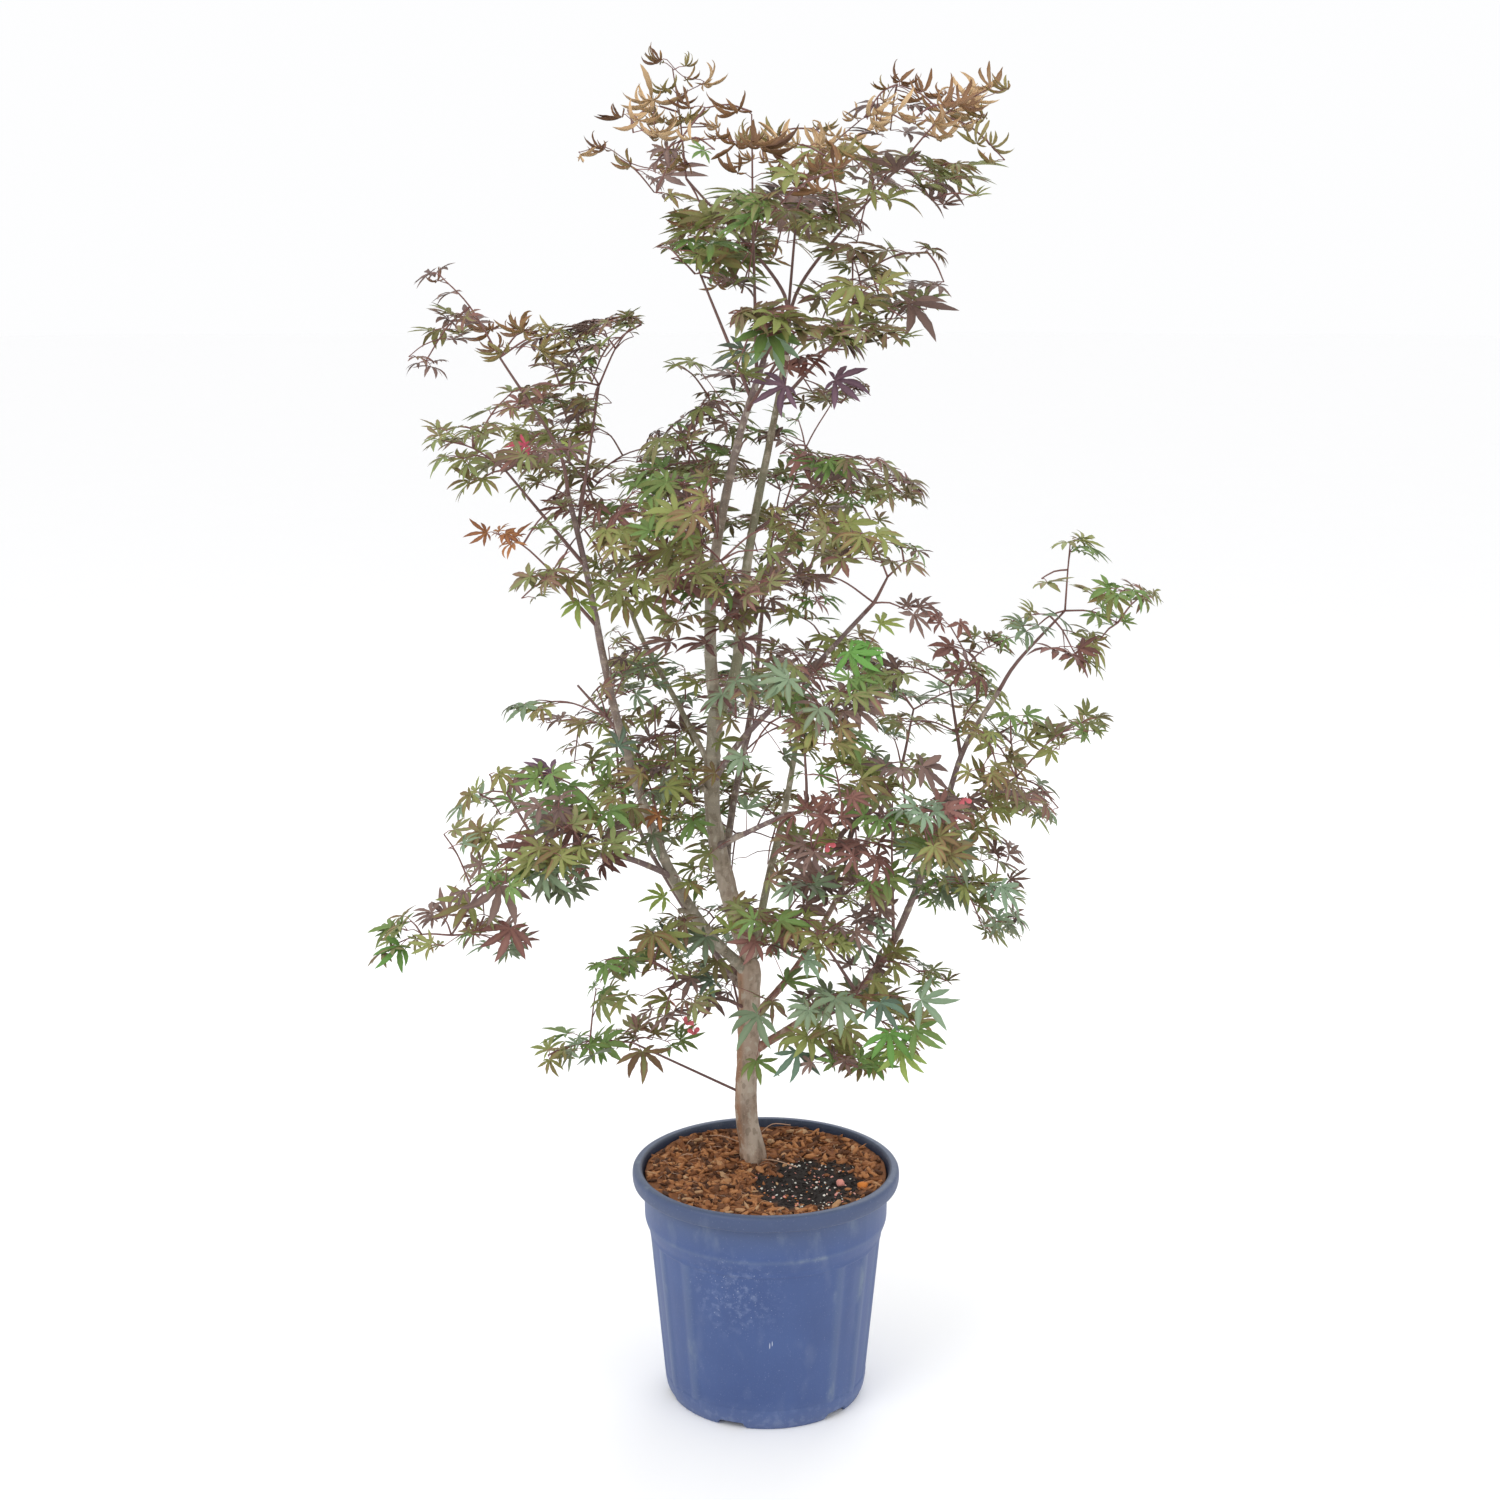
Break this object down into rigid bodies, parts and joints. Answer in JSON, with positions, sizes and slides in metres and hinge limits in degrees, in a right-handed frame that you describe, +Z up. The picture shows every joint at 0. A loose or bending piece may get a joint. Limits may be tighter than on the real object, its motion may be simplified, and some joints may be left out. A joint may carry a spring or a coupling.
{
  "type": "potted japanese maple",
  "caption": "Young Japanese maple with forked upright stems and open sprays of lobed leaves, in a round nursery pot of bark-topped potting mix.",
  "frame": {"origin": "centre of the flat underside of the pot", "axes": "+Z up along the pot's axis; +X to the right and -Y towards the viewer of the plant's front"},
  "size_m": [0.812, 0.5016, 1.3697],
  "materials": {
    "pot_plastic": "dusty, scuffed slate-blue moulded plastic",
    "potting_mix": "loose bark chips and dark compost",
    "bark": "smooth young bark",
    "foliage": "thin matt leaves"
  },
  "bodies": {
    "root": {"back_bough": "bark", "back_left_bough": "bark", "back_right_bough": "bark", "bottom_back_foliage": "foliage", "bottom_front_foliage": "foliage", "bottom_left_foliage": "foliage", "centre_back_foliage": "foliage", "centre_bough": "bark", "centre_front_foliage": "foliage", "centre_left_foliage": "foliage", "centre_low_right_foliage": "foliage", "centre_right_foliage": "foliage", "crossing_bough": "bark", "front_bough": "bark", "left_back_foliage": "foliage", "left_bough": "bark", "left_inner_bough": "bark", "left_inner_foliage": "foliage", "left_leader": "bark", "left_lower_foliage": "foliage", "left_middle_foliage": "foliage", "left_tip_foliage": "foliage", "low_left_back_foliage": "foliage", "low_left_bough": "bark", "low_left_front_foliage": "foliage", "low_left_inner_foliage": "foliage", "low_left_middle_foliage": "foliage", "low_left_tip_foliage": "foliage", "low_right_back_foliage": "foliage", "low_right_foliage": "foliage", "low_right_front_foliage": "foliage", "low_right_inner_foliage": "foliage", "low_right_tip_foliage": "foliage", "main_stem": "bark", "middle_back_foliage": "foliage", "middle_front_foliage": "foliage", "middle_left_foliage": "foliage", "middle_low_back_foliage": "foliage", "middle_right_foliage": "foliage", "pot": "pot_plastic", "potting_mix": "potting_mix", "right_back_foliage": "foliage", "right_bough": "bark", "right_leader": "bark", "right_low_foliage": "foliage", "right_middle_foliage": "foliage", "right_tip_foliage": "foliage", "top_back_foliage": "foliage", "top_back_skirt_foliage": "foliage", "top_front_foliage": "foliage", "top_left_foliage": "foliage", "top_left_skirt_foliage": "foliage", "top_right_foliage": "foliage", "top_right_skirt_foliage": "foliage", "top_skirt_foliage": "foliage", "trunk": "bark"}
  },
  "joints": []
}
